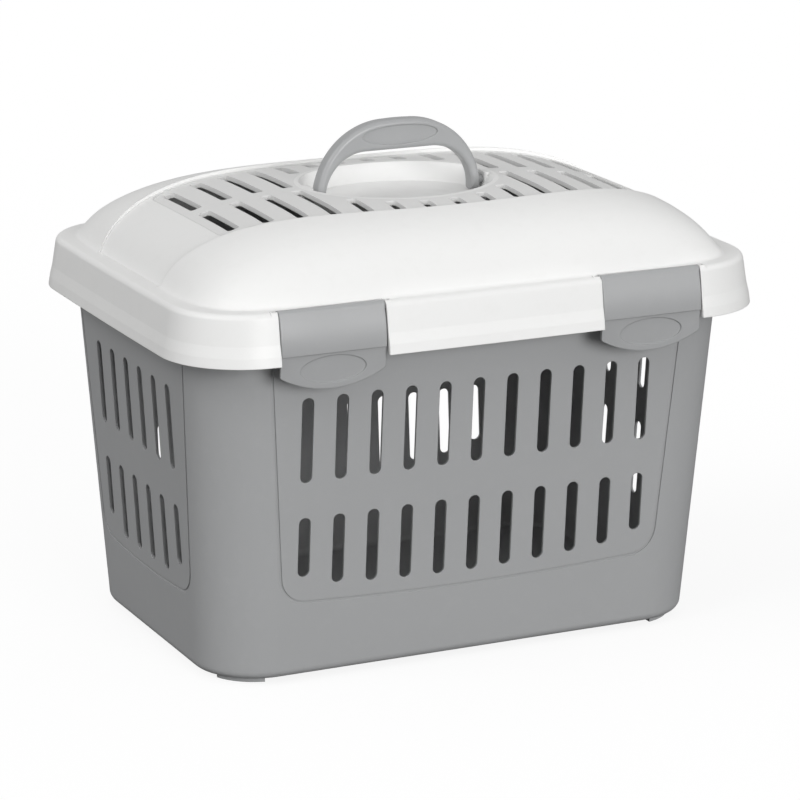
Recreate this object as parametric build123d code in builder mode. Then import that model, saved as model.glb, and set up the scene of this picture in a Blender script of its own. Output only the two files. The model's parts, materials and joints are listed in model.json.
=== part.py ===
"""Top-opening pet carrier: slotted tub, domed lid, folding handle, two latches.

Units are millimetres. +Z is up and the floor is z = 0. +X is to the carrier's
right and the latches face -Y. The origin is on the floor under the lid's middle.
"""

import math
import os

from build123d import *

os.makedirs("parts", exist_ok=True)

# Clearances shared by the whole carrier
seat_gap = 0.3
running_gap = 0.08
side_gap = 0.6

# Spare length for cutting tools
over = 40.0

# Lid ledge height, from which the tub's mouth and the lid are set out
ledge_z = 319.0
lid_wall = 2.2

# Tub: a tapered bucket with a flange round its mouth
tub_wall = 2.4
tub_base_z = 4.5
tub_mouth_z = ledge_z - lid_wall - seat_gap
tub_base_length = 442.0
tub_base_width = 286.0
tub_mouth_length = 480.6
tub_mouth_width = 333.8
tub_base_corner = 54.0
tub_mouth_corner = 58.0
tub_bottom_round = 8.0
flange_reach_ends = 5.0
flange_reach_front = 10.6
flange_reach_back = 3.6
flange_length = tub_mouth_length + 2 * flange_reach_ends
flange_width = tub_mouth_width + flange_reach_front + flange_reach_back
flange_corner = 66.0
flange_thickness = 3.0
flange_lip_height = 20.0
flange_lip_wall = 2.4
flange_base_z = tub_mouth_z - flange_lip_height
# the flange reaches further at the front, so the tub stands behind the lid's middle
tub_setback = (flange_reach_front - flange_reach_back) / 2

# Ventilation slots in the tub
slot_width = 10.3
front_columns = 11
front_pitch = 30.0
side_columns = 6
side_pitch = 30.4
upper_slot_bottom_z = 170.0
upper_slot_top_z = 241.0
lower_slot_bottom_z = 76.0
lower_slot_top_z = 140.3
front_bottom_bow = 8.9
front_end_rise = 5.4
side_end_rise = 13.2

# Shallow groove that frames each slotted area
groove_width = 1.8
groove_depth = 0.8
groove_corner = 24.0
groove_bottom_z = 63.5
groove_top_z = 288.0
groove_bow = 5.0
front_groove_base = 338.0
front_groove_top = 368.0
side_groove_base = 193.0
side_groove_top = 231.0

# Foot pads under the tub's corners
foot_length = 38.5
foot_width = 31.0
foot_inset = 2.0
foot_seam_height = 0.7
foot_seam_depth = 1.2

# Lid skirt
skirt_height = 41.2
skirt_bottom_z = ledge_z - skirt_height
skirt_gap_ends = 12.1
skirt_gap_sides = 13.5
skirt_length = flange_length + 2 * skirt_gap_ends
skirt_width = flange_width + 2 * skirt_gap_sides
skirt_corner = 68.6
skirt_long_bow = 3.5
skirt_short_bow = 2.0
skirt_draft = 6.4
shoulder_round = 5.4
bead_height = 8.0
bead_out = 0.8

# Lid dome: height over the ledge is a smooth function of the plan position
ledge_ends = 20.6
ledge_sides = 14.5
dome_length = skirt_length - 2 * ledge_ends
dome_width = skirt_width - 2 * ledge_sides
dome_height = 58.0
dome_power = 4
dome_roundness = 0.6
dome_corner_fill = 0.75
dome_steep_share = 0.0587
dome_reach = 1.06
dome_wall_inset = 1.1
dome_base_round = 4.6
dome_rows = 12
dome_columns = 14

# Recessed channel along the lid, its slotted panel and the handle well
channel_half_width = 113.0
channel_edge_radius = 750.0
channel_slope = 8.0
channel_depth = 3.0
channel_step = 0.7
panel_length = 378.0
panel_margin = 11.0
panel_depth = 0.8
panel_corner = 14.0
lid_slot_columns = 14
lid_slot_pitch = 27.0
lid_slot_width = 10.0
lid_slot_corner = 3.0
lid_slot_reach = 97.0
lid_slot_row_radius = 604.0
lid_slot_middle_bar = 14.0
lid_slot_well_margin = 11.0
lid_slot_lip_wall = 1.6
lid_slot_lip_height = 2.6
well_depth = 19.5
well_height = 22.5
well_floor_z = ledge_z + dome_height - well_depth
well_top_z = well_floor_z + well_height
well_floor_length = 150.0
well_floor_width = 123.6
well_rim_length = 162.0
well_rim_width = 137.8
well_top_length = 173.2
well_top_width = 149.0

# Handle: an arch that folds down over the well
handle_span = 149.4
handle_pivot_height = 8.5
handle_height = 58.0
handle_shoulder_radius = 64.0
handle_crown_rise = 0.3
handle_leg_width = 8.5
handle_grip_height = 25.0
handle_inner_corner = 36.0
handle_thickness = 15.0
handle_edge_round = 3.8
handle_oval_length = 68.0
handle_oval_height = 16.0
handle_pivot_z = well_floor_z + handle_pivot_height
handle_top_z = handle_pivot_z + handle_height
oval_depth = 0.9
trunnion_radius = 3.8
trunnion_gap = 3.5
trunnion_seat = 8.0
boss_width = 18.0
boss_length = 12.0
boss_inner_x = handle_span / 2 + trunnion_gap
boss_outer_x = boss_inner_x + boss_length

# Latches on the front
latch_spacing = 281.0
latch_width = 90.0
latch_barrel_gap = 1.0
latch_barrel_radius = 3.7
latch_axis_drop = 2.7
latch_axis_y = -flange_width / 2 - latch_barrel_gap - latch_barrel_radius
latch_axis_z = ledge_z - latch_axis_drop
latch_plate = 2.4
latch_bulge = 1.6
latch_crease_out = 8.7
latch_crease_drop = 32.3
latch_setback = 1.8
latch_tab_lean = 1.9
latch_tab_drop = 61.7
latch_side_drop = 49.3
latch_corner = 2.5
latch_edge_round = 1.2
latch_oval_length = 56.0
latch_oval_height = 22.0
latch_oval_drop = 45.8
latch_pin_radius = 2.2
latch_pin_length = 4.6
latch_ear_length = 5.6
latch_ear_slit = 3.4
latch_hook_width = 70.0
latch_hook_height = 4.0
latch_hook_gap = 1.2
latch_hook_bite = 3.5

# Hinges on the back
hinge_spacing = 281.0
hinge_radius = 4.5
hinge_inset = 1.2
hinge_axis_y = skirt_width / 2 - hinge_inset
hinge_axis_z = skirt_bottom_z + hinge_radius
hinge_pin_radius = 2.0
hinge_pin_recess = 0.5
hinge_lug_length = 40.0
hinge_knuckle_length = 12.0
hinge_lug_drop = 4.0


def bowed_outline(length, width, corner, long_bow=0.0, short_bow=0.0):
    """Rounded rectangle whose sides may bow outwards."""
    x, y = length / 2, width / 2
    with BuildSketch() as outline:
        with BuildLine():
            if long_bow > 0:
                ThreePointArc((-x, -y), (0, -y - long_bow), (x, -y))
                ThreePointArc((x, -y), (x + short_bow, 0), (x, y))
                ThreePointArc((x, y), (0, y + long_bow), (-x, y))
                ThreePointArc((-x, y), (-x - short_bow, 0), (-x, -y))
            else:
                Polyline((-x, -y), (x, -y), (x, y), (-x, y), close=True)
        make_face()
        fillet(outline.vertices(), corner)
    return outline.sketch


def tapered_block(low_z, low, high_z, high):
    """Straight-sided block between two outlines."""
    with BuildPart() as block:
        with BuildSketch(Plane.XY.offset(low_z)):
            add(low)
        with BuildSketch(Plane.XY.offset(high_z)):
            add(high)
        loft(ruled=True)
    return block.part


def prism(outline, low_z, high_z):
    """Upright block from a flat outline."""
    with BuildPart() as block:
        with BuildSketch(Plane.XY.offset(low_z)):
            add(outline)
        extrude(amount=high_z - low_z)
    return block.part


def along_x(outline, low_x, high_x):
    """Bar along X of a profile drawn in Y and Z."""
    with BuildPart() as bar:
        with BuildSketch(Plane.YZ.offset(low_x)):
            add(outline)
        extrude(amount=high_x - low_x)
    return bar.part


def rod_x(radius, low_x, high_x, y, z):
    """Round rod along X."""
    with BuildSketch() as ring:
        with Locations((y, z)):
            Circle(radius)
    return along_x(ring.sketch, low_x, high_x)


def ends(place, near, far):
    """The two X spans that lie near to far from a place, one on each side."""
    return [(place - far, place - near), (place + near, place + far)]


def tub_outline(z, inset):
    """Outline of the tub's outer wall at height z, moved in by inset."""
    share = (z - tub_base_z) / (tub_mouth_z - tub_base_z)
    length = tub_base_length + share * (tub_mouth_length - tub_base_length)
    width = tub_base_width + share * (tub_mouth_width - tub_base_width)
    corner = tub_base_corner + share * (tub_mouth_corner - tub_base_corner)
    return bowed_outline(length - 2 * inset, width - 2 * inset, corner - inset)


def tub_block(low_z, high_z, inset):
    """Solid tub body between two heights, moved in by inset."""
    return tapered_block(low_z, tub_outline(low_z, inset), high_z, tub_outline(high_z, inset))


def groove_area(base, top, shrink):
    """Area of one wall inside the groove's outer edge, moved in by shrink."""
    low = groove_bottom_z + shrink
    side_low = low + groove_bow
    low_x = base / 2 - shrink
    high_x = top / 2 - shrink
    with BuildSketch() as area:
        with BuildLine():
            Polyline((-low_x, side_low), (-high_x, groove_top_z), (high_x, groove_top_z), (low_x, side_low))
            ThreePointArc((low_x, side_low), (0, low), (-low_x, side_low))
        make_face()
        fillet(area.vertices().group_by(Axis.Y)[0], groove_corner - shrink)
    return area.sketch


def groove_band(base, top):
    """U-shaped band, open upwards, drawn in the width and height of one wall."""
    return groove_area(base, top, 0.0) - groove_area(base, top, groove_width)


def column_places(count, pitch):
    """Centres of evenly pitched columns about the middle."""
    return [(index - (count - 1) / 2) * pitch for index in range(count)]


def upright_slot(place, low_z, high_z):
    """One round-ended slot standing at a place along a wall."""
    with Locations((place, (low_z + high_z) / 2)):
        SlotOverall(high_z - low_z, slot_width, rotation=90)


def front_bottom(place):
    """Bottom of a lower front slot: it rises towards the ends with the groove."""
    half_row = (front_columns - 1) / 2 * front_pitch
    rise = front_bottom_bow * (place / half_row) ** 2
    if abs(place) > half_row - front_pitch / 2:
        rise += front_end_rise
    return lower_slot_bottom_z + rise


def side_bottom(place):
    """Bottom of a lower side slot: the outermost ones are shorter."""
    half_row = (side_columns - 1) / 2 * side_pitch
    rise = side_end_rise if abs(place) > half_row - side_pitch / 2 else 0.0
    return lower_slot_bottom_z + rise


def lug_profile():
    """Side view of a tub hinge lug, from the flange lip out to the hinge pin."""
    lip_y = flange_width / 2 - flange_lip_wall / 2
    top_z = tub_mouth_z - hinge_lug_drop
    with BuildSketch() as profile:
        with BuildLine():
            Polyline(
                (lip_y, top_z),
                (flange_width / 2 + hinge_radius / 2, top_z),
                (hinge_axis_y + hinge_radius, hinge_axis_z),
                (hinge_axis_y, hinge_axis_z - hinge_radius),
                (lip_y, flange_base_z),
                close=True,
            )
        make_face()
        with Locations((hinge_axis_y, hinge_axis_z)):
            Circle(hinge_radius)
    return profile.sketch


def skirt_outline(z, inset):
    """Outline of the lid's skirt at height z, moved in by inset."""
    share = (z - skirt_bottom_z) / skirt_height
    shrink = inset + share * skirt_draft
    length = skirt_length - 2 * shrink
    width = skirt_width - 2 * shrink
    return bowed_outline(length, width, skirt_corner - shrink, skirt_long_bow, skirt_short_bow)


def skirt_block(low_z, high_z, inset):
    """Solid skirt between two heights, moved in by inset."""
    return tapered_block(low_z, skirt_outline(low_z, inset), high_z, skirt_outline(high_z, inset))


def dome_level(x, y, inset):
    """Height over the dome's base at a plan position, for a dome moved in by inset."""
    across = (x / (dome_length / 2 - inset)) ** dome_power
    along = (y / (dome_width / 2 - inset)) ** dome_power
    share = 1 - across - along + dome_corner_fill * across * along
    if share >= dome_steep_share:
        return dome_height * share**dome_roundness
    # below the shoulder the side runs on at its steepest slope
    slope = dome_roundness * dome_steep_share ** (dome_roundness - 1)
    return dome_height * (dome_steep_share**dome_roundness + slope * (share - dome_steep_share))


def spread(reach, count):
    """Places from -reach to reach that crowd together towards both ends."""
    return [reach * math.sin(math.pi / 2 * step / count) for step in range(-count, count + 1)]


def dome_block(base_z, inset):
    """Everything under the dome's surface, down to well below the ledge."""
    reach_x = (dome_length / 2 - inset) * dome_reach
    reach_y = (dome_width / 2 - inset) * dome_reach
    rows = spread(reach_y, dome_rows)
    columns = spread(reach_x, dome_columns)
    grid = [[(x, y, base_z + dome_level(x, y, inset)) for x in columns] for y in rows]
    surface = Face.make_surface_from_array_of_points(grid, min_deg=3, max_deg=3)
    return Solid.extrude(surface, Vector(0, 0, -dome_height - over))


def channel_edge(x):
    """Distance of the channel's edge from the middle at x."""
    return channel_half_width - channel_edge_radius + math.sqrt(channel_edge_radius**2 - x**2)


def channel_outline(margin):
    """Plan of the channel between its two arched edges, moved in by margin."""
    reach = skirt_length / 2
    middle = channel_half_width - margin
    end = channel_edge(reach) - margin
    with BuildSketch() as plan:
        with BuildLine():
            ThreePointArc((-reach, -end), (0, -middle), (reach, -end))
            Line((reach, -end), (reach, end))
            ThreePointArc((reach, end), (0, middle), (-reach, end))
            Line((-reach, end), (-reach, -end))
        make_face()
    return plan.sketch


def channel_shoulder(side):
    """Tool that slopes one side of the channel from its rim to a small step at its floor."""
    with BuildPart() as tool:
        for x in spread(dome_length / 2 * dome_reach, dome_columns):
            rim = channel_edge(x)
            foot = rim - channel_slope
            rim_z = ledge_z + dome_level(x, rim, 0.0)
            foot_z = ledge_z - channel_depth + channel_step + dome_level(x, foot, 0.0)
            top_z = ledge_z + 2 * dome_height
            with BuildSketch(Plane.YZ.offset(x)):
                Polygon(
                    (side * foot, foot_z),
                    (side * rim, rim_z),
                    (side * rim, top_z),
                    (side * foot, top_z),
                    align=None,
                )
        loft()
    return tool.part


def panel_outline():
    """Plan of the slotted panel inside the channel."""
    with BuildSketch() as plan:
        add(channel_outline(panel_margin))
        Rectangle(panel_length, skirt_width, mode=Mode.INTERSECT)
        fillet(plan.vertices(), panel_corner)
    return plan.sketch


def slot_inner_end(x):
    """Distance of a lid slot's inner end from the middle: slots stop short of the well."""
    share = 1 - (2 * (abs(x) - lid_slot_width / 2) / well_rim_length) ** 2
    if share > 0:
        return well_rim_width / 2 * math.sqrt(share) + lid_slot_well_margin
    return lid_slot_middle_bar / 2


def slot_outer_end(x):
    """Distance of a lid slot's outer end from the middle: the rows follow an arc."""
    return lid_slot_reach - lid_slot_row_radius + math.sqrt(lid_slot_row_radius**2 - x**2)


def lid_slots(grow):
    """Plan of the lid's two rows of slots, shortened round the well and grown all round."""
    with BuildSketch() as plan:
        for x in column_places(lid_slot_columns, lid_slot_pitch):
            outer = slot_outer_end(x)
            inner = slot_inner_end(x)
            for side in (-1, 1):
                with Locations((x, side * (outer + inner) / 2)):
                    RectangleRounded(
                        lid_slot_width + 2 * grow,
                        outer - inner + 2 * grow,
                        lid_slot_corner + grow,
                    )
    return plan.sketch


def well_block(low_z, grow):
    """Bowl of the handle well, grown by a wall thickness."""
    with BuildPart() as bowl:
        with BuildSketch(Plane.XY.offset(low_z)):
            Ellipse(well_floor_length / 2 + grow, well_floor_width / 2 + grow)
        with BuildSketch(Plane.XY.offset(well_top_z)):
            Ellipse(well_top_length / 2 + grow, well_top_width / 2 + grow)
        loft(ruled=True)
    return bowl.part


def notch(place, half_length, inner_y, outer_y, top_z):
    """Tool that cuts the skirt away at a latch or at a hinge lug."""
    with BuildPart() as tool:
        with BuildSketch(Plane.XY.offset(skirt_bottom_z - over)):
            with Locations((place, (inner_y + outer_y) / 2)):
                Rectangle(2 * half_length, abs(outer_y - inner_y))
        extrude(amount=top_z - skirt_bottom_z + over)
    return tool.part


def handle_face():
    """Front view of the handle's arch."""
    outer_x = handle_span / 2
    inner_x = outer_x - handle_leg_width
    end_z = handle_pivot_z - handle_thickness / 2
    crown_x = outer_x - handle_shoulder_radius
    crown_z = handle_top_z - handle_crown_rise
    shoulder_z = crown_z - handle_shoulder_radius
    grip_z = handle_top_z - handle_grip_height
    bend_x = inner_x - handle_inner_corner
    bend_z = grip_z - handle_inner_corner
    outer = handle_shoulder_radius
    inner = handle_inner_corner
    with BuildSketch() as face:
        with BuildLine():
            ThreePointArc((-crown_x, crown_z), (0, handle_top_z), (crown_x, crown_z))
            ThreePointArc(*quarter_bend(1, outer, crown_x, shoulder_z))
            Polyline((outer_x, shoulder_z), (outer_x, end_z), (inner_x, end_z), (inner_x, bend_z))
            ThreePointArc(*quarter_bend(1, inner, bend_x, bend_z))
            Line((bend_x, grip_z), (-bend_x, grip_z))
            ThreePointArc(*quarter_bend(-1, inner, bend_x, bend_z))
            Polyline((-inner_x, bend_z), (-inner_x, end_z), (-outer_x, end_z), (-outer_x, shoulder_z))
            ThreePointArc(*quarter_bend(-1, outer, crown_x, shoulder_z))
        make_face()
    return face.sketch


def quarter_bend(side, radius, middle_x, middle_z):
    """Side end, middle and top end of a quarter bend on one shoulder of the arch."""
    diagonal = radius * math.sqrt(0.5)
    side_end = (side * (middle_x + radius), middle_z)
    middle = (side * (middle_x + diagonal), middle_z + diagonal)
    return side_end, middle, (side * middle_x, middle_z + radius)


def latch_section():
    """Side view of a latch plate: bulged above the crease, set back below it."""
    outer_y = latch_axis_y - latch_barrel_radius
    crease_y = latch_axis_y - latch_crease_out
    crease_z = latch_axis_z - latch_crease_drop
    back_y = crease_y + latch_setback
    low_y = back_y + latch_tab_lean
    low_z = latch_axis_z - latch_tab_drop
    middle_y = (outer_y + crease_y) / 2 - latch_bulge
    middle_z = (latch_axis_z + crease_z) / 2
    with BuildSketch() as section:
        with BuildLine():
            ThreePointArc((outer_y, latch_axis_z), (middle_y, middle_z), (crease_y, crease_z))
            Polyline(
                (crease_y, crease_z),
                (back_y, crease_z),
                (low_y, low_z),
                (low_y + latch_plate, low_z),
                (back_y + latch_plate, crease_z + latch_plate),
                (crease_y + latch_plate, crease_z + latch_plate),
            )
            ThreePointArc(
                (crease_y + latch_plate, crease_z + latch_plate),
                (middle_y + latch_plate, middle_z),
                (outer_y + latch_plate, latch_axis_z),
            )
            Line((outer_y + latch_plate, latch_axis_z), (outer_y, latch_axis_z))
        make_face()
    return section.sketch


def latch_face(place):
    """Front view of a latch, with its curved lower edge."""
    side_z = latch_axis_z - latch_side_drop
    low_z = latch_axis_z - latch_tab_drop
    left, right = place - latch_width / 2, place + latch_width / 2
    top_z = latch_axis_z + latch_barrel_radius
    with BuildSketch() as face:
        with BuildLine():
            ThreePointArc((left, side_z), (place, low_z), (right, side_z))
            Polyline((right, side_z), (right, top_z), (left, top_z), (left, side_z))
        make_face()
        fillet(face.vertices().group_by(Axis.Y)[0], latch_corner)
    return face.sketch


hinge_places = [-hinge_spacing / 2, hinge_spacing / 2]
latch_places = {"left": -latch_spacing / 2, "right": latch_spacing / 2}
ledge_under_z = ledge_z - lid_wall
dome_ceiling_z = ledge_z + 2 * dome_height

# Tub, drawn about its own middle and set back under the lid at the end
to_tub = Pos(0, -tub_setback, 0)
set_back = Pos(0, tub_setback, 0)
with BuildPart() as tub:
    add(tub_block(tub_base_z, tub_mouth_z, 0.0))
    fillet(tub.edges().group_by(Axis.Z)[0], tub_bottom_round)
    # flange with a turned-down lip
    flange_outline = to_tub * bowed_outline(flange_length, flange_width, flange_corner)
    add(prism(flange_outline, flange_base_z, tub_mouth_z))
    lip_inner = to_tub * bowed_outline(
        flange_length - 2 * flange_lip_wall,
        flange_width - 2 * flange_lip_wall,
        flange_corner - flange_lip_wall,
    )
    under_flange = prism(lip_inner, flange_base_z, tub_mouth_z - flange_thickness)
    add(under_flange - tub_block(tub_base_z, tub_mouth_z, 0.0), mode=Mode.SUBTRACT)
    # hinge lugs on the back of the lip
    for place in hinge_places:
        low_x, high_x = place - hinge_lug_length / 2, place + hinge_lug_length / 2
        add(to_tub * along_x(lug_profile(), low_x, high_x))
        pin_hole = rod_x(hinge_pin_radius, low_x, high_x, hinge_axis_y, hinge_axis_z)
        add(to_tub * pin_hole, mode=Mode.SUBTRACT)
    # hollow inside
    with BuildPart(mode=Mode.PRIVATE) as hollow:
        add(tub_block(tub_base_z + tub_wall, tub_mouth_z + tub_wall, tub_wall))
        fillet(hollow.edges().group_by(Axis.Z)[0], tub_bottom_round - tub_wall)
    add(hollow.part, mode=Mode.SUBTRACT)
    # slots through the front and back walls, then through both ends
    with BuildSketch(Plane.XZ.offset(-tub_mouth_width)):
        for place in column_places(front_columns, front_pitch):
            upright_slot(place, upper_slot_bottom_z, upper_slot_top_z)
            upright_slot(place, front_bottom(place), lower_slot_top_z)
    extrude(amount=2 * tub_mouth_width, mode=Mode.SUBTRACT)
    with BuildSketch(Plane.YZ.offset(-tub_mouth_length)):
        for place in column_places(side_columns, side_pitch):
            upright_slot(place, upper_slot_bottom_z, upper_slot_top_z)
            upright_slot(place, side_bottom(place), lower_slot_top_z)
    extrude(amount=2 * tub_mouth_length, mode=Mode.SUBTRACT)
    # frame grooves: only the skin of the walls is cut
    skin = tub_block(tub_base_z, tub_mouth_z, 0.0) - tub_block(tub_base_z, tub_mouth_z, groove_depth)
    with BuildPart(mode=Mode.PRIVATE) as bands:
        with BuildSketch(Plane.XZ.offset(-tub_mouth_width)):
            add(groove_band(front_groove_base, front_groove_top))
        extrude(amount=2 * tub_mouth_width)
        with BuildSketch(Plane.YZ.offset(-tub_mouth_length)):
            add(groove_band(side_groove_base, side_groove_top))
        extrude(amount=2 * tub_mouth_length)
    add(skin & bands.part, mode=Mode.SUBTRACT)
placed_tub = set_back * tub.part
placed_tub.label = "tub"
export_step(placed_tub, "parts/tub.step")

# Lid
with BuildPart() as lid:
    add(skirt_block(skirt_bottom_z, ledge_z, 0.0))
    fillet(lid.edges().group_by(Axis.Z)[-1], shoulder_round)
    # flared bead along the skirt's lower edge
    bead_top_z = skirt_bottom_z + bead_height
    bead_low = skirt_outline(skirt_bottom_z, -bead_out)
    bead_high = skirt_outline(bead_top_z, -bead_out)
    add(tapered_block(skirt_bottom_z, bead_low, bead_top_z, bead_high))
    # dome, with a soft corner at its foot
    ledge_top = bowed_outline(
        skirt_length - 2 * shoulder_round,
        skirt_width - 2 * shoulder_round,
        skirt_corner,
    )
    add(dome_block(ledge_z, 0.0) & prism(ledge_top, ledge_under_z, dome_ceiling_z))
    at_ledge = lid.edges().filter_by_position(Axis.Z, ledge_z - seat_gap, ledge_z + seat_gap)
    foot_limit = skirt_width - 2 * shoulder_round - skirt_draft
    fillet([edge for edge in at_ledge if edge.bounding_box().size.Y < foot_limit], dome_base_round)
    # channel, slotted panel and handle well, cut from above
    channel_floor = dome_block(ledge_z - channel_depth, 0.0)
    panel_floor = dome_block(ledge_z - channel_depth - panel_depth, 0.0)
    channel_plan = channel_outline(channel_slope - seat_gap)
    add(prism(channel_plan, ledge_z, dome_ceiling_z) - channel_floor, mode=Mode.SUBTRACT)
    above_ledge = prism(ledge_top, ledge_z, dome_ceiling_z)
    for side in (-1, 1):
        add(channel_shoulder(side) & above_ledge, mode=Mode.SUBTRACT)
    add(prism(panel_outline(), ledge_z, dome_ceiling_z) - panel_floor, mode=Mode.SUBTRACT)
    add(well_block(well_floor_z, 0.0), mode=Mode.SUBTRACT)
    # hollow underside that follows the same forms one wall below
    with BuildPart(mode=Mode.PRIVATE) as underside:
        add(skirt_block(skirt_bottom_z - over, ledge_under_z, lid_wall))
        inner_room = prism(ledge_top, ledge_under_z - lid_wall, dome_ceiling_z)
        add(dome_block(ledge_under_z, dome_wall_inset) & inner_room)
        channel_under = dome_block(ledge_under_z - channel_depth, dome_wall_inset)
        channel_room = prism(channel_outline(-lid_wall), ledge_under_z, dome_ceiling_z)
        add(channel_room - channel_under, mode=Mode.SUBTRACT)
        add(well_block(well_floor_z - lid_wall, lid_wall), mode=Mode.SUBTRACT)
        # turned-down lips round the slots
        lip_under = dome_block(ledge_under_z - channel_depth - lid_slot_lip_height, dome_wall_inset)
        lip_room = prism(lid_slots(lid_slot_lip_wall), ledge_under_z, dome_ceiling_z)
        add(lip_room - lip_under, mode=Mode.SUBTRACT)
    add(underside.part, mode=Mode.SUBTRACT)
    # ventilation slots
    with BuildSketch(Plane.XY.offset(ledge_z)):
        add(lid_slots(0.0))
    extrude(amount=dome_ceiling_z - ledge_z, mode=Mode.SUBTRACT)
    # bosses that carry the handle's trunnions, kept below the panel's surface
    for low_x, high_x in ends(0.0, boss_inner_x, boss_outer_x):
        with BuildPart(mode=Mode.PRIVATE) as boss:
            with BuildSketch(Plane.XY.offset(well_floor_z - lid_wall)):
                with Locations(((low_x + high_x) / 2, 0)):
                    RectangleRounded(boss_length, boss_width, lid_slot_corner)
            extrude(amount=dome_height)
        add(boss.part & panel_floor)
    for low_x, high_x in ends(0.0, boss_inner_x - lid_wall, boss_inner_x + trunnion_seat):
        bore = rod_x(trunnion_radius + running_gap, low_x, high_x, 0.0, handle_pivot_z)
        add(bore, mode=Mode.SUBTRACT)
    # notches for the latches, with an ear at each end for the latch pins
    latch_back_y = latch_axis_y + latch_barrel_radius + seat_gap
    notch_half = latch_width / 2 + side_gap
    for place in latch_places.values():
        add(notch(place, notch_half, latch_back_y, -skirt_width, ledge_z + lid_wall), mode=Mode.SUBTRACT)
        for low_x, high_x in ends(place, notch_half, notch_half + latch_ear_length):
            add(rod_x(latch_barrel_radius, low_x, high_x, latch_axis_y, latch_axis_z))
        for low_x, high_x in ends(place, 0.0, latch_width / 2 + latch_pin_length + seat_gap):
            bore = rod_x(latch_pin_radius + running_gap, low_x, high_x, latch_axis_y, latch_axis_z)
            add(bore, mode=Mode.SUBTRACT)
            with BuildSketch(Plane.XY.offset(latch_axis_z)):
                with Locations(((low_x + high_x) / 2, latch_axis_y)):
                    Rectangle(high_x - low_x, latch_ear_slit)
            extrude(amount=2 * latch_barrel_radius, mode=Mode.SUBTRACT)
    # notches for the tub's lugs, with a knuckle at each end for the hinge pins
    skirt_inner_y = skirt_width / 2 - skirt_draft - lid_wall
    lug_half = hinge_lug_length / 2 + side_gap
    for place in hinge_places:
        add(notch(place, lug_half, skirt_inner_y, skirt_width, ledge_under_z), mode=Mode.SUBTRACT)
        for low_x, high_x in ends(place, lug_half, lug_half + hinge_knuckle_length):
            add(rod_x(hinge_radius, low_x, high_x, hinge_axis_y, hinge_axis_z))
        for low_x, high_x in ends(place, 0.0, lug_half + hinge_knuckle_length):
            bore = rod_x(hinge_pin_radius + running_gap, low_x, high_x, hinge_axis_y, hinge_axis_z)
            add(bore, mode=Mode.SUBTRACT)
lid.part.label = "lid"
export_step(lid.part, "parts/lid.step")

# Handle
with BuildPart() as handle:
    with BuildSketch(Plane.XZ.offset(-handle_thickness / 2)):
        add(handle_face())
    extrude(amount=handle_thickness)
    leg_end_z = handle_pivot_z - handle_thickness / 2
    flat_edges = [edge for edge in handle.edges() if edge.bounding_box().size.Y < seat_gap]
    fillet([edge for edge in flat_edges if edge.center().Z > leg_end_z + seat_gap], handle_edge_round)
    # leg ends rounded about the pivot
    with BuildSketch(Plane.YZ.offset(-handle_span)):
        with Locations((0, handle_pivot_z)):
            Circle(handle_thickness / 2)
            Rectangle(handle_thickness, 2 * handle_height, align=(Align.CENTER, Align.MIN))
    extrude(amount=2 * handle_span, mode=Mode.INTERSECT)
    # shallow oval dish on both faces of the grip
    for face_y in (-handle_thickness / 2, handle_thickness / 2):
        with BuildSketch(Plane.XZ.offset(-face_y - oval_depth)):
            with Locations((0, handle_top_z - handle_grip_height / 2)):
                Ellipse(handle_oval_length / 2, handle_oval_height / 2)
        extrude(amount=2 * oval_depth, mode=Mode.SUBTRACT)
    # trunnions
    trunnion_near = (handle_span - handle_leg_width) / 2
    trunnion_far = boss_inner_x + trunnion_seat - seat_gap
    for low_x, high_x in ends(0.0, trunnion_near, trunnion_far):
        add(rod_x(trunnion_radius, low_x, high_x, 0.0, handle_pivot_z))
handle.part.label = "handle"
export_step(handle.part, "parts/handle.step")

# Latches
for side, place in latch_places.items():
    left, right = place - latch_width / 2, place + latch_width / 2
    with BuildPart() as latch:
        add(along_x(latch_section(), left, right))
        fillet(latch.edges().filter_by(GeomType.CIRCLE).group_by(Axis.Y)[0], latch_edge_round)
        # hook that reaches in under the tub's flange
        hook_top_z = flange_base_z - latch_hook_gap
        hook_back_y = latch_axis_y - latch_crease_out + latch_plate / 2
        hook_tip_y = -flange_width / 2 + latch_hook_bite
        with BuildPart(mode=Mode.PRIVATE) as hook:
            with BuildSketch(Plane.XY.offset(hook_top_z)):
                with Locations((place, (hook_back_y + hook_tip_y) / 2)):
                    Rectangle(latch_hook_width, hook_tip_y - hook_back_y)
            extrude(amount=-latch_hook_height)
        add(hook.part)
        # lower edge cut to a curve
        with BuildSketch(Plane.XZ.offset(-latch_axis_y)):
            add(latch_face(place))
        extrude(amount=skirt_width, both=True, mode=Mode.INTERSECT)
        # shallow oval dish in the tab, square to its leaning face
        tab_share = (latch_oval_drop - latch_crease_drop) / (latch_tab_drop - latch_crease_drop)
        dish_y = latch_axis_y - latch_crease_out + latch_setback + tab_share * latch_tab_lean
        tab_face = Plane(
            origin=(place, dish_y, latch_axis_z - latch_oval_drop),
            x_dir=(1, 0, 0),
            z_dir=(0, latch_crease_drop - latch_tab_drop, -latch_tab_lean),
        )
        with BuildSketch(tab_face.offset(-oval_depth)):
            Ellipse(latch_oval_length / 2, latch_oval_height / 2)
        extrude(amount=2 * oval_depth, mode=Mode.SUBTRACT)
        # barrel and the two pins it turns on
        add(rod_x(latch_barrel_radius, left, right, latch_axis_y, latch_axis_z))
        pin_left, pin_right = left - latch_pin_length, right + latch_pin_length
        add(rod_x(latch_pin_radius, pin_left, pin_right, latch_axis_y, latch_axis_z))
    latch.part.label = f"latch_{side}"
    export_step(latch.part, f"parts/latch_{side}.step")

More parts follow.
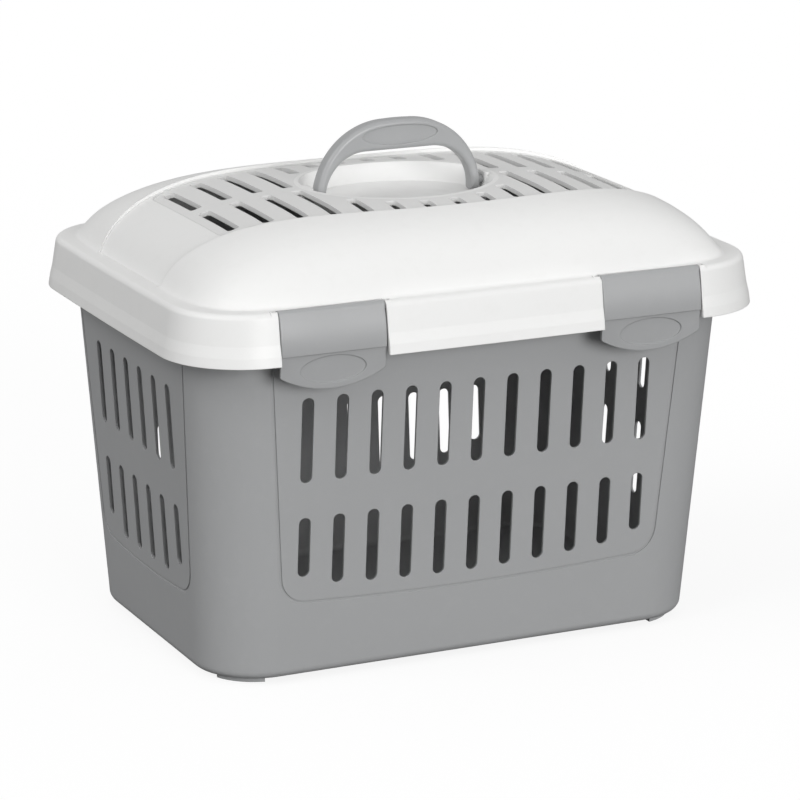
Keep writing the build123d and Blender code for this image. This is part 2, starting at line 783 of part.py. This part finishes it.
# Hinge pins
pin_reach = hinge_lug_length / 2 + side_gap + hinge_knuckle_length - hinge_pin_recess
for side, place in zip(latch_places, hinge_places):
    with BuildPart() as hinge_pin:
        add(rod_x(hinge_pin_radius, place - pin_reach, place + pin_reach, hinge_axis_y, hinge_axis_z))
    hinge_pin.part.label = f"hinge_pin_{side}"
    export_step(hinge_pin.part, f"parts/hinge_pin_{side}.step")

# Foot pads
flat_x = tub_base_length / 2 - tub_bottom_round
flat_y = tub_base_width / 2 - tub_bottom_round
for name, side_x, side_y in (
    ("front_left", -1, -1),
    ("front_right", 1, -1),
    ("rear_left", -1, 1),
    ("rear_right", 1, 1),
):
    with BuildPart() as foot:
        for low_z, high_z, inset in (
            (0.0, tub_base_z - foot_seam_height, foot_inset),
            (tub_base_z - foot_seam_height, tub_base_z, foot_inset + foot_seam_depth),
        ):
            with BuildSketch(Plane.XY.offset(low_z)) as pad:
                add(tub_outline(tub_base_z, tub_bottom_round + inset))
                with Locations((side_x * flat_x, side_y * flat_y)):
                    Rectangle(2 * (foot_length - inset), 2 * (foot_width - inset), mode=Mode.INTERSECT)
            extrude(amount=high_z - low_z)
    placed_foot = set_back * foot.part
    placed_foot.label = f"foot_{name}"
    export_step(placed_foot, f"parts/foot_{name}.step")
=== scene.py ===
# %% [markdown]
# # A top-opening pet carrier
#
# The carrier has already been built as exact solids. This notebook dresses
# those solids: it gives every moulding a smooth skin, a plastic that behaves
# like the real one, and a plain studio to stand in. The solids are loaded
# first, because everything else takes its place from them.

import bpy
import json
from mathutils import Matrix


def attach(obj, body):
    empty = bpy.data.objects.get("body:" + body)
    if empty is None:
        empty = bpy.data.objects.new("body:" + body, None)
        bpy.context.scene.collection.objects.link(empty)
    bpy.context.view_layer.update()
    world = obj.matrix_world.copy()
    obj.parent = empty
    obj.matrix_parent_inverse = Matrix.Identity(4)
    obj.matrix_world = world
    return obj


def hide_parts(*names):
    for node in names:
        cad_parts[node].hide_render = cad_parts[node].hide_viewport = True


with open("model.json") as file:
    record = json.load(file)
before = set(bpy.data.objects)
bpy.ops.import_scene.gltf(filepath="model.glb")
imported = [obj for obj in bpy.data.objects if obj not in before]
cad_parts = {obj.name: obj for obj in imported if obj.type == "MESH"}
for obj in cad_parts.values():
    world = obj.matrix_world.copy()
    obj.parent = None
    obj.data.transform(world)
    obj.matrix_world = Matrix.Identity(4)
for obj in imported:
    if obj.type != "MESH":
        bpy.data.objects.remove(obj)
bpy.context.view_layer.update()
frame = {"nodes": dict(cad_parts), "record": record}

# %% [markdown]
# ## Tools for every step
#
# Blender works in metres, and a moulding is easier to think of in millimetres,
# so most sizes are a number times MM. Colours are written as they look on a
# screen and turned into the linear values that light adds up in. Each finish
# is a graph of nodes: one function starts the graph, and one adds a node with
# its settings and links, so that the code reads like the graph itself.

# %% Tools
import json
import math

import bpy
import numpy as np
from mathutils import Euler, Vector

MM = 0.001


def linear(hex_colour):
    """sRGB hex text as linear red, green, blue and alpha.

    Each channel c is c / 12.92 up to 0.04045, and ((c + 0.055) / 1.055) ** 2.4 above.
    """
    channels = np.array([int(hex_colour[i : i + 2], 16) / 255 for i in (1, 3, 5)])
    dark, bright = channels / 12.92, ((channels + 0.055) / 1.055) ** 2.4
    return (*np.where(channels <= 0.04045, dark, bright).tolist(), 1.0)


def empty_material(name):
    """A material without any node yet, and its node tree."""
    material = bpy.data.materials.new(name)
    material.use_nodes = True
    material.node_tree.nodes.clear()
    return material, material.node_tree


def add_node(tree, kind, settings=None, links=None):
    """Adds one node, sets its properties and sockets, and links its inputs.

    A socket goes by its name or its number, and a property by its name.
    """
    node = tree.nodes.new(kind)
    for key, value in (settings or {}).items():
        if isinstance(key, int) or key in node.inputs:
            node.inputs[key].default_value = value
        else:
            setattr(node, key, value)
    for key, source in (links or {}).items():
        tree.links.new(source, node.inputs[key])
    return node


# %% [markdown]
# ## The patterns in the plastic
#
# Both mouldings of a carrier like this are polypropylene: a tough, slightly
# waxy plastic with an index of refraction near 1.49. The steel mould is
# lightly blasted, so the surface has a fine grain that breaks reflections up.
# It cools unevenly, which leaves broad soft waves that show in the gloss, and
# handling leaves faint scuffs. Pictures could give all three, but noise
# textures in Object coordinates keep their true size on any piece. The real
# grain is about half a millimetre wide, too fine to show in the render, so it
# is drawn at 0.9 mm.

# %% Patterns
# each pattern's size in millimetres, its number of finer layers and their weight
GRAIN = (0.9, 2.0, 0.5)
COOLING_WAVES = (60.0, 2.0, 0.4)
SCUFFS = (14.0, 6.0, 0.7)
# the part of a noise's range that it mostly keeps to
NOISE_LOW, NOISE_HIGH = 0.3, 0.7

GRAIN_STRENGTH = 0.35
WAVE_STRENGTH = 0.5
WAVE_DEPTH_MM = 0.25
# waves make the gloss better or worse by this much roughness
GLOSS_SWING = 0.05
# scuffs show only where their noise is high, and never cover the colour fully
SCUFF_START, SCUFF_FULL = 0.52, 0.78
SCUFF_SHARE = 0.35
print("grain, waves and scuffs in mm:", GRAIN[0], COOLING_WAVES[0], SCUFFS[0])

# %% [markdown]
# ## Edges of the mouldings
#
# No moulded edge is quite sharp, and its small round catches a line of light.
# Bevelled geometry would show that, but with this many slots it would cost a
# great many faces. A Bevel node rounds only the shading near an edge. The
# edges that fingers meet, on the handle and the latches, are the rounder ones.

# %% Edge rounds
BODY_EDGE_MM = 0.9
GRIP_EDGE_MM = 1.3
EDGE_SAMPLES = 6
print("edge rounds in mm:", BODY_EDGE_MM, GRIP_EDGE_MM)

# %% [markdown]
# ## Painted shade on the slotted panel
#
# The sunken panel with the lid's slots looks a little dimmer than the dome
# round it, because less light falls on it. This is shade, not a darker
# plastic. It belongs to the same moulding, so the mesh isn't cut into two
# materials. Instead a mask, drawn from the panel's outline in Object
# coordinates, paints that shade into the plastic's colour there. The smooth
# handle well in its middle keeps the full colour.

# %% Panel outline
PANEL_HALF_LENGTH = 189 * MM
PANEL_HALF_WIDTH = 103 * MM
# twice the radius, in metres, of the arc that the panel's long edges follow
PANEL_ARC = 1.5
PANEL_EDGE_SOFT = 0.6 * MM
# share by which the painted shade darkens the panel's colour
PAINTED_PANEL_SHADE = 0.1
WELL_HALF_LENGTH = 86.6 * MM
WELL_HALF_WIDTH = 74.5 * MM


def edge_ramp(tree, distance, edge, inside):
    """Falls from inside to 0 over PANEL_EDGE_SOFT as a distance reaches the edge."""
    ramp = add_node(
        tree,
        "ShaderNodeMapRange",
        {
            "From Min": edge - PANEL_EDGE_SOFT,
            "From Max": edge,
            "To Min": inside,
            "To Max": 0.0,
        },
        {"Value": distance},
    )
    return ramp.outputs["Result"]


# %% Panel mask
def painted_panel_shade_mask(tree, place, amount):
    """The amount of painted shade on the lid's slotted panel, and 0 elsewhere.

    The panel is where x, without its sign, is under PANEL_HALF_LENGTH, and
    where y, without its sign, plus x ** 2 / PANEL_ARC is under
    PANEL_HALF_WIDTH. Left out of it is the handle well: the ellipse
    (x / WELL_HALF_LENGTH) ** 2 + (y / WELL_HALF_WIDTH) ** 2 = 1.
    """
    axes = add_node(tree, "ShaderNodeSeparateXYZ", None, {"Vector": place})
    x, y = axes.outputs["X"], axes.outputs["Y"]
    along = add_node(tree, "ShaderNodeMath", {"operation": "ABSOLUTE"}, {0: x})
    across = add_node(tree, "ShaderNodeMath", {"operation": "ABSOLUTE"}, {0: y})
    square = add_node(tree, "ShaderNodeMath", {"operation": "MULTIPLY"}, {0: x, 1: x})
    bowed = add_node(
        tree,
        "ShaderNodeMath",
        {"operation": "MULTIPLY_ADD", 1: 1 / PANEL_ARC},
        {0: square.outputs["Value"], 2: across.outputs["Value"]},
    )
    by_width = edge_ramp(tree, bowed.outputs["Value"], PANEL_HALF_WIDTH, amount)
    by_length = edge_ramp(tree, along.outputs["Value"], PANEL_HALF_LENGTH, 1.0)
    panel = add_node(
        tree, "ShaderNodeMath", {"operation": "MULTIPLY"}, {0: by_width, 1: by_length}
    )
    oval = add_node(
        tree,
        "ShaderNodeVectorMath",
        {"operation": "MULTIPLY", 1: (1 / WELL_HALF_LENGTH, 1 / WELL_HALF_WIDTH, 0.0)},
        {0: place},
    )
    reach = add_node(
        tree, "ShaderNodeVectorMath", {"operation": "LENGTH"}, {0: oval.outputs["Vector"]}
    )
    past_well = add_node(
        tree,
        "ShaderNodeMapRange",
        {"From Min": 1.0, "From Max": 1.0 + PANEL_EDGE_SOFT / WELL_HALF_WIDTH},
        {"Value": reach.outputs["Value"]},
    )
    mask = add_node(
        tree,
        "ShaderNodeMath",
        {"operation": "MULTIPLY"},
        {0: panel.outputs["Value"], 1: past_well.outputs["Result"]},
    )
    return mask.outputs["Value"]


# %% [markdown]
# ## Colour, gloss and relief
#
# Three functions share the work of a finish. Scuffs mix a second colour in, and
# painted shade on the slotted panel comes on top. A noise moves the roughness
# up and down.
# The grain and the waves are two bumps on the rounded edges, which change how
# light falls on the mesh and not the mesh itself.

# %% Colour
# numbers of a colour mix's two inputs and of its result
MIX_FIRST, MIX_SECOND, MIX_RESULT = 6, 7, 2
# the painted shade on the panel darkens the colour towards black
BLACK = (0.0, 0.0, 0.0, 1.0)


def scuffs_and_painted_shade(tree, place, scuffs, colour, worn_colour, painted_panel_shade):
    """The colour, with worn_colour mixed in where the scuffs' noise is high.

    Its share goes evenly from 0 at SCUFF_START to SCUFF_SHARE at SCUFF_FULL.
    Painted shade above 0 then darkens the lid's slotted panel by that share.
    """
    worn = add_node(
        tree,
        "ShaderNodeMapRange",
        {"From Min": SCUFF_START, "From Max": SCUFF_FULL, "To Max": SCUFF_SHARE},
        {"Value": scuffs},
    )
    tint = add_node(
        tree,
        "ShaderNodeMix",
        {"data_type": "RGBA", MIX_FIRST: linear(colour), MIX_SECOND: linear(worn_colour)},
        {"Factor": worn.outputs["Result"]},
    )
    # painted shade: the slotted panel's colour is darkened where less light falls on it
    if painted_panel_shade:
        shade = painted_panel_shade_mask(tree, place, painted_panel_shade)
        tint = add_node(
            tree,
            "ShaderNodeMix",
            {"data_type": "RGBA", "blend_type": "MULTIPLY", MIX_SECOND: BLACK},
            {"Factor": shade, MIX_FIRST: tint.outputs[MIX_RESULT]},
        )
    return tint.outputs[MIX_RESULT]


# %% Gloss
def uneven_gloss(tree, noise, smoothest, roughest):
    """Roughness that goes evenly from smoothest to roughest as a noise rises."""
    gloss = add_node(
        tree,
        "ShaderNodeMapRange",
        {
            "From Min": NOISE_LOW,
            "From Max": NOISE_HIGH,
            "To Min": smoothest,
            "To Max": roughest,
        },
        {"Value": noise},
    )
    return gloss.outputs["Result"]


# %% Relief
def grainy_relief(tree, grain, waves, grain_mm, edge_mm):
    """Edges rounded by edge_mm, then grain that is grain_mm deep, then waves."""
    rounded = add_node(
        tree, "ShaderNodeBevel", {"samples": EDGE_SAMPLES, "Radius": edge_mm * MM}
    )
    relief = rounded.outputs["Normal"]
    for height, strength, depth_mm in (
        (grain, GRAIN_STRENGTH, grain_mm),
        (waves, WAVE_STRENGTH, WAVE_DEPTH_MM),
    ):
        bump = add_node(
            tree,
            "ShaderNodeBump",
            {"Strength": strength, "Distance": depth_mm * MM},
            {"Height": height, "Normal": relief},
        )
        relief = bump.outputs["Normal"]
    return relief


# %% [markdown]
# ## Moulded polypropylene
#
# One function makes the plastic of every moulding, because they differ only in
# colour, in gloss, in the depth of their grain, in the round of their edges and
# in the painted shade on the lid's slotted panel.

# %% Moulded polypropylene
POLYPROPYLENE_IOR = 1.49


def moulded_polypropylene(
    name, colour, worn_colour, roughness, grain_mm, edge_mm, painted_panel_shade=0.0
):
    """Polypropylene with blasted grain, cooling waves and faint handling scuffs.

    The grain is grain_mm deep and edges are rounded by edge_mm. Painted shade
    above 0 darkens the lid's slotted panel by that share.
    """
    material, tree = empty_material(name)
    place = add_node(tree, "ShaderNodeTexCoord").outputs["Object"]
    grain, waves, scuffs = (
        add_node(
            tree,
            "ShaderNodeTexNoise",
            {"Scale": 1 / (size_mm * MM), "Detail": layers, "Roughness": weight},
            {"Vector": place},
        ).outputs["Fac"]
        for size_mm, layers, weight in (GRAIN, COOLING_WAVES, SCUFFS)
    )
    tint = scuffs_and_painted_shade(tree, place, scuffs, colour, worn_colour, painted_panel_shade)
    gloss = uneven_gloss(tree, waves, roughness - GLOSS_SWING, roughness + GLOSS_SWING)
    relief = grainy_relief(tree, grain, waves, grain_mm, edge_mm)
    shader = add_node(
        tree,
        "ShaderNodeBsdfPrincipled",
        {"IOR": POLYPROPYLENE_IOR, "Metallic": 0.0},
        {"Base Color": tint, "Roughness": gloss, "Normal": relief},
    )
    add_node(tree, "ShaderNodeOutputMaterial", None, {"Surface": shader.outputs["BSDF"]})
    print("plastic:", name, len(tree.nodes), "nodes")
    return material


# %% [markdown]
# ## Three plastics
#
# The lid is moulded in white, and its fine satin grain gives broad, bright
# highlights. The tub is mid grey with the deepest grain, so it looks the most
# matt. The handle and the latches are light grey and the smoothest, which
# makes them look a little waxy.

# %% White, grey and light grey polypropylene
white_polypropylene = moulded_polypropylene(
    "white_moulded_polypropylene",
    colour="#EDEDEC",
    worn_colour="#E6E6E4",
    roughness=0.40,
    grain_mm=0.03,
    edge_mm=BODY_EDGE_MM,
    # painted shade that darkens the slotted panel's colour
    painted_panel_shade=PAINTED_PANEL_SHADE,
)
grey_polypropylene = moulded_polypropylene(
    "grey_moulded_polypropylene",
    colour="#A6A7A8",
    worn_colour="#ADAEAF",
    roughness=0.48,
    grain_mm=0.05,
    edge_mm=BODY_EDGE_MM,
)
light_grey_polypropylene = moulded_polypropylene(
    "light_grey_moulded_polypropylene",
    colour="#A5A6A7",
    worn_colour="#ACADAE",
    roughness=0.36,
    grain_mm=0.04,
    edge_mm=GRIP_EDGE_MM,
)

# %% [markdown]
# ## Steel pins
#
# The hinge pins are cut from drawn wire. Drawing leaves fine scratches along
# the wire, so the noise is stretched along X, the way the pins lie, and only
# changes the gloss. Real scratches are far too fine to show, so they are drawn
# a quarter of a millimetre wide.

# %% Drawn steel
SCRATCH_LENGTH_MM = 10.0
SCRATCH_WIDTH_MM = 0.25
SCRATCH_LAYERS = 3.0
STEEL_SMOOTHEST, STEEL_ROUGHEST = 0.25, 0.4


def drawn_steel(name, colour):
    """Bare drawn wire: metal whose fine scratches run along X."""
    material, tree = empty_material(name)
    place = add_node(tree, "ShaderNodeTexCoord").outputs["Object"]
    per_metre = [1 / (SCRATCH_LENGTH_MM * MM)] + [1 / (SCRATCH_WIDTH_MM * MM)] * 2
    stretched = add_node(tree, "ShaderNodeMapping", {"Scale": per_metre}, {"Vector": place})
    scratches = add_node(
        tree,
        "ShaderNodeTexNoise",
        {"Scale": 1.0, "Detail": SCRATCH_LAYERS},
        {"Vector": stretched.outputs["Vector"]},
    )
    gloss = uneven_gloss(tree, scratches.outputs["Fac"], STEEL_SMOOTHEST, STEEL_ROUGHEST)
    shader = add_node(
        tree,
        "ShaderNodeBsdfPrincipled",
        {"Base Color": linear(colour), "Metallic": 1.0},
        {"Roughness": gloss},
    )
    add_node(tree, "ShaderNodeOutputMaterial", None, {"Surface": shader.outputs["BSDF"]})
    print("metal:", name, len(tree.nodes), "nodes")
    return material


steel_wire = drawn_steel("drawn_steel_wire", "#C9C9C6")

# %% [markdown]
# ## Joined meshes
#
# A solid arrives as loose triangles. Joined up, and shaded smoothly wherever
# two of them meet at a shallow angle, they look like the moulding they stand
# for, and true edges stay crisp. Merging by distance in Blender would do the
# same. Rounding the places to a fine grid needs only a few lines of numpy, and
# leaves the original untouched.

# %% Join
SMOOTH_ANGLE = math.radians(28)
JOIN_MM = 0.002


def mesh_rows(items, field, numbers, kind=np.float64):
    """A field of a mesh's points, corners or faces, as rows of three numbers.

    Each item holds the given count of numbers: 3 for a place or a normal, and
    1 for a corner's point, of which a triangle has three.
    """
    values = np.empty(len(items) * numbers, dtype=kind)
    items.foreach_get(field, values)
    return values.reshape(-1, 3)


def joined_mesh(name, source):
    """Same triangles as the source, with points closer than JOIN_MM made one."""
    points = mesh_rows(source.vertices, "co", 3)
    corners = mesh_rows(source.loops, "vertex_index", 1, np.int32)
    cells = np.round(points / (JOIN_MM * MM)).astype(np.int64)
    _, first, joined = np.unique(cells, axis=0, return_index=True, return_inverse=True)
    faces = joined.ravel()[corners]
    # a triangle with two corners in one place has no area left and is dropped
    whole = (faces != np.roll(faces, 1, axis=1)).all(axis=1)
    mesh = bpy.data.meshes.new(name)
    mesh.from_pydata(points[first], [], faces[whole])
    mesh.validate()
    mesh.shade_smooth()
    mesh.set_sharp_from_angle(angle=SMOOTH_ANGLE)
    return mesh


# %% [markdown]
# ## The bead under the lid's skirt
#
# On the real lid the skirt flares softly into the thick bead along its lower
# edge. The solid meets it in a flat step. Cutting a new profile would mean a
# new lid, so the ring of points where the skirt ends is moved up the skirt
# instead, and the step's flat faces stretch into the flare.

# %% Flare
BEAD_TOP = 285.8 * MM
BEAD_RISE = 9.0 * MM
# the skirt leans in by 6.4 mm over its 41.2 mm of height
SKIRT_DRAFT = 6.4 / 41.2
# a face leans like the skirt if it is within this factor of the draft
DRAFT_SLACK = 3


def soften_bead(mesh):
    """Lets the skirt flare softly into its bead, where the solid has a flat step.

    A point where the skirt meets the step is raised by BEAD_RISE and moved
    inwards by BEAD_RISE * SKIRT_DRAFT, which keeps it on the sloping skirt.
    """
    points = mesh_rows(mesh.vertices, "co", 3)
    faces = mesh_rows(mesh.loops, "vertex_index", 1, np.int32)
    normals = mesh_rows(mesh.polygons, "normal", 3)
    lean = normals[:, 2]
    heights = points[faces, 2]
    leans_like_skirt = (lean > SKIRT_DRAFT / DRAFT_SLACK) & (lean < SKIRT_DRAFT * DRAFT_SLACK)
    starts_above_bead = heights.min(axis=1) > BEAD_TOP - JOIN_MM * MM
    ends_past_flare = heights.max(axis=1) > BEAD_TOP + BEAD_RISE
    skirt = leans_like_skirt & starts_above_bead & ends_past_flare
    outwards = np.zeros((len(points), 2))
    for corner in range(3):
        np.add.at(outwards, faces[skirt, corner], normals[skirt, :2])
    length = np.linalg.norm(outwards, axis=1)
    ring = (length > 0) & (np.abs(points[:, 2] - BEAD_TOP) < JOIN_MM * MM)
    points[ring, :2] -= outwards[ring] / length[ring, None] * BEAD_RISE * SKIRT_DRAFT
    points[ring, 2] += BEAD_RISE
    mesh.vertices.foreach_set("co", points.ravel())
    mesh.update()
    print("flare:", int(ring.sum()), "points raised")


# %% [markdown]
# ## Smooth skins over the solids
#
# Each solid gets a skin that takes its place and moves with its body. Blender
# can work the shading out from the triangles alone, but long thin ones pull it
# about, so each corner's normal is weighted by the area of its faces.

# %% Skins
finishes = {
    "tub_plastic": grey_polypropylene,
    "lid_plastic": white_polypropylene,
    "trim_plastic": light_grey_polypropylene,
    "pin_steel": steel_wire,
}
slots = {row["node"]: row["material_slot"] for row in frame["record"]["subparts"]}
bodies = {
    node_name: body
    for body, node_names in frame["record"]["behaviour"]["bodies"].items()
    for node_name in node_names
}


def smooth_skin(node_name, skin_name, material):
    """A joined, smoothly shaded copy of a solid that takes its place."""
    mesh = joined_mesh(skin_name, frame["nodes"][node_name].data)
    if node_name == "lid":
        soften_bead(mesh)
    mesh.materials.append(material)
    skin = bpy.data.objects.new(skin_name, mesh)
    bpy.context.collection.objects.link(skin)
    evened = skin.modifiers.new("evened_normals", "WEIGHTED_NORMAL")
    evened.mode = "FACE_AREA"
    evened.keep_sharp = True
    body = bodies[node_name]
    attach(skin, body)
    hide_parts(node_name)
    print(skin_name, len(mesh.vertices), "points", len(mesh.polygons), "faces")
    return skin


for node_name in frame["nodes"]:
    slot = slots[node_name]
    skin = smooth_skin(node_name, f"{node_name}_skin", finishes[slot])

# %% [markdown]
# ## Studio floor
#
# The photograph was taken against plain white. A white floor would also light
# the tub from below, so this one is white to the camera and a dull pale
# surface to the light. The added glow lifts it to white but still leaves the
# soft shadow round the feet.

# %% Floor
FLOOR_GLOW = 0.87
FLOOR_TONE = 0.16
FLOOR_HALF = 40.0


def white_floor():
    """Pale matt floor that a camera ray sees as white but that keeps shadows."""
    material, tree = empty_material("matt_white_floor")
    path = add_node(tree, "ShaderNodeLightPath")
    matt = add_node(tree, "ShaderNodeBsdfDiffuse", {"Color": (*[FLOOR_TONE] * 3, 1.0)})
    glow = add_node(tree, "ShaderNodeEmission", {"Strength": FLOOR_GLOW})
    both = add_node(
        tree,
        "ShaderNodeAddShader",
        None,
        {0: matt.outputs["BSDF"], 1: glow.outputs["Emission"]},
    )
    seen = add_node(
        tree,
        "ShaderNodeMixShader",
        None,
        {
            "Fac": path.outputs["Is Camera Ray"],
            1: matt.outputs["BSDF"],
            2: both.outputs["Shader"],
        },
    )
    add_node(tree, "ShaderNodeOutputMaterial", None, {"Surface": seen.outputs["Shader"]})
    return material


corner_signs = ((-1, -1), (1, -1), (1, 1), (-1, 1))
floor_mesh = bpy.data.meshes.new("floor")
floor_mesh.from_pydata(
    [(x * FLOOR_HALF, y * FLOOR_HALF, 0) for x, y in corner_signs], [], [(0, 1, 2, 3)]
)
floor_mesh.materials.append(white_floor())
floor = bpy.data.objects.new("floor", floor_mesh)
bpy.context.collection.objects.link(floor)
print("floor:", 2 * FLOOR_HALF, "m wide")

# %% [markdown]
# ## Sky
#
# An even sky fills the shadows, as a white room does. It is white to the
# camera, and about half as strong as light, so that the lamps still give the
# mouldings their shape.

# %% Sky
SKY_LIGHT = 0.51
SKY_SEEN = 1.0
WHITE = (1.0, 1.0, 1.0, 1.0)

world = bpy.data.worlds.new("even_sky")
bpy.context.scene.world = world
world.use_nodes = True
sky = world.node_tree
sky.nodes.clear()
path = add_node(sky, "ShaderNodeLightPath")
strength = add_node(
    sky,
    "ShaderNodeMapRange",
    {"To Min": SKY_LIGHT, "To Max": SKY_SEEN},
    {"Value": path.outputs["Is Camera Ray"]},
)
background = add_node(
    sky, "ShaderNodeBackground", {"Color": WHITE}, {"Strength": strength.outputs["Result"]}
)
add_node(sky, "ShaderNodeOutputWorld", None, {"Surface": background.outputs["Background"]})
print("sky:", SKY_LIGHT, "as light,", SKY_SEEN, "to the camera")

# %% [markdown]
# ## Lamps
#
# In the photograph the front of the lid is the brightest surface, the left end
# comes next, and the slotted panel on top is dimmer than both. So the main
# lamp is low in front, and a weaker, higher one stands to the left. Both are
# far away and wide, which a sun lamp with a large angle gives directly.

# %% Far lamps
def direction(turn, rise):
    """Unit vector away from the carrier, turned from the front and raised, in degrees.

    x is sin(turn) * cos(rise), y is -cos(turn) * cos(rise) and z is sin(rise).
    """
    turn, rise = math.radians(turn), math.radians(rise)
    level = math.cos(rise)
    return Vector((math.sin(turn) * level, -math.cos(turn) * level, math.sin(rise)))


def far_lamp(name, turn, rise, power, width):
    """Distant soft lamp in a direction, as wide as the given angle in degrees."""
    lamp_data = bpy.data.lights.new(name, "SUN")
    lamp_data.energy = power
    lamp_data.angle = math.radians(width)
    lamp = bpy.data.objects.new(name, lamp_data)
    lamp.rotation_euler = (-direction(turn, rise)).to_track_quat("-Z", "Y").to_euler()
    bpy.context.collection.objects.link(lamp)
    print(name, "power", power)


far_lamp("front_lamp", turn=8, rise=10, power=1.93, width=30)
far_lamp("left_lamp", turn=-85, rise=36, power=1.05, width=40)

# %% [markdown]
# ## Camera
#
# The photograph was taken with a long lens from the front left, a little above
# the lid. The distance is from a target near the middle of the carrier. The
# lens follows from the focal length and the width of the photograph, both in
# its pixels.

# %% Camera
CAMERA_TURN = -25.299
CAMERA_RISE = 15.483
CAMERA_ROLL = 0.15
CAMERA_DISTANCE = 3.09006
CAMERA_TARGET = Vector((6.169, 3.5, 180.93)) * MM
CAMERA_REACH = 200.0
PHOTO_WIDTH_PX = 800
FOCAL_LENGTH_PX = 3661.9
MIDDLE_SHIFT_PX = -0.8
SENSOR_WIDTH_MM = 36.0

camera_data = bpy.data.cameras.new("camera")
camera_data.sensor_width = SENSOR_WIDTH_MM
camera_data.lens = FOCAL_LENGTH_PX / PHOTO_WIDTH_PX * SENSOR_WIDTH_MM
camera_data.shift_x = MIDDLE_SHIFT_PX / PHOTO_WIDTH_PX
camera_data.clip_end = CAMERA_REACH
camera = bpy.data.objects.new("camera", camera_data)
back = direction(CAMERA_TURN, CAMERA_RISE)
camera.location = CAMERA_TARGET + CAMERA_DISTANCE * back
facing = (-back).to_track_quat("-Z", "Y")
roll = Euler((0, 0, math.radians(CAMERA_ROLL))).to_quaternion()
camera.rotation_euler = (facing @ roll).to_euler()
bpy.context.collection.objects.link(camera)
bpy.context.scene.camera = camera
bpy.context.scene.view_settings.view_transform = "Standard"
print("camera:", list(camera.location), "lens", camera_data.lens)
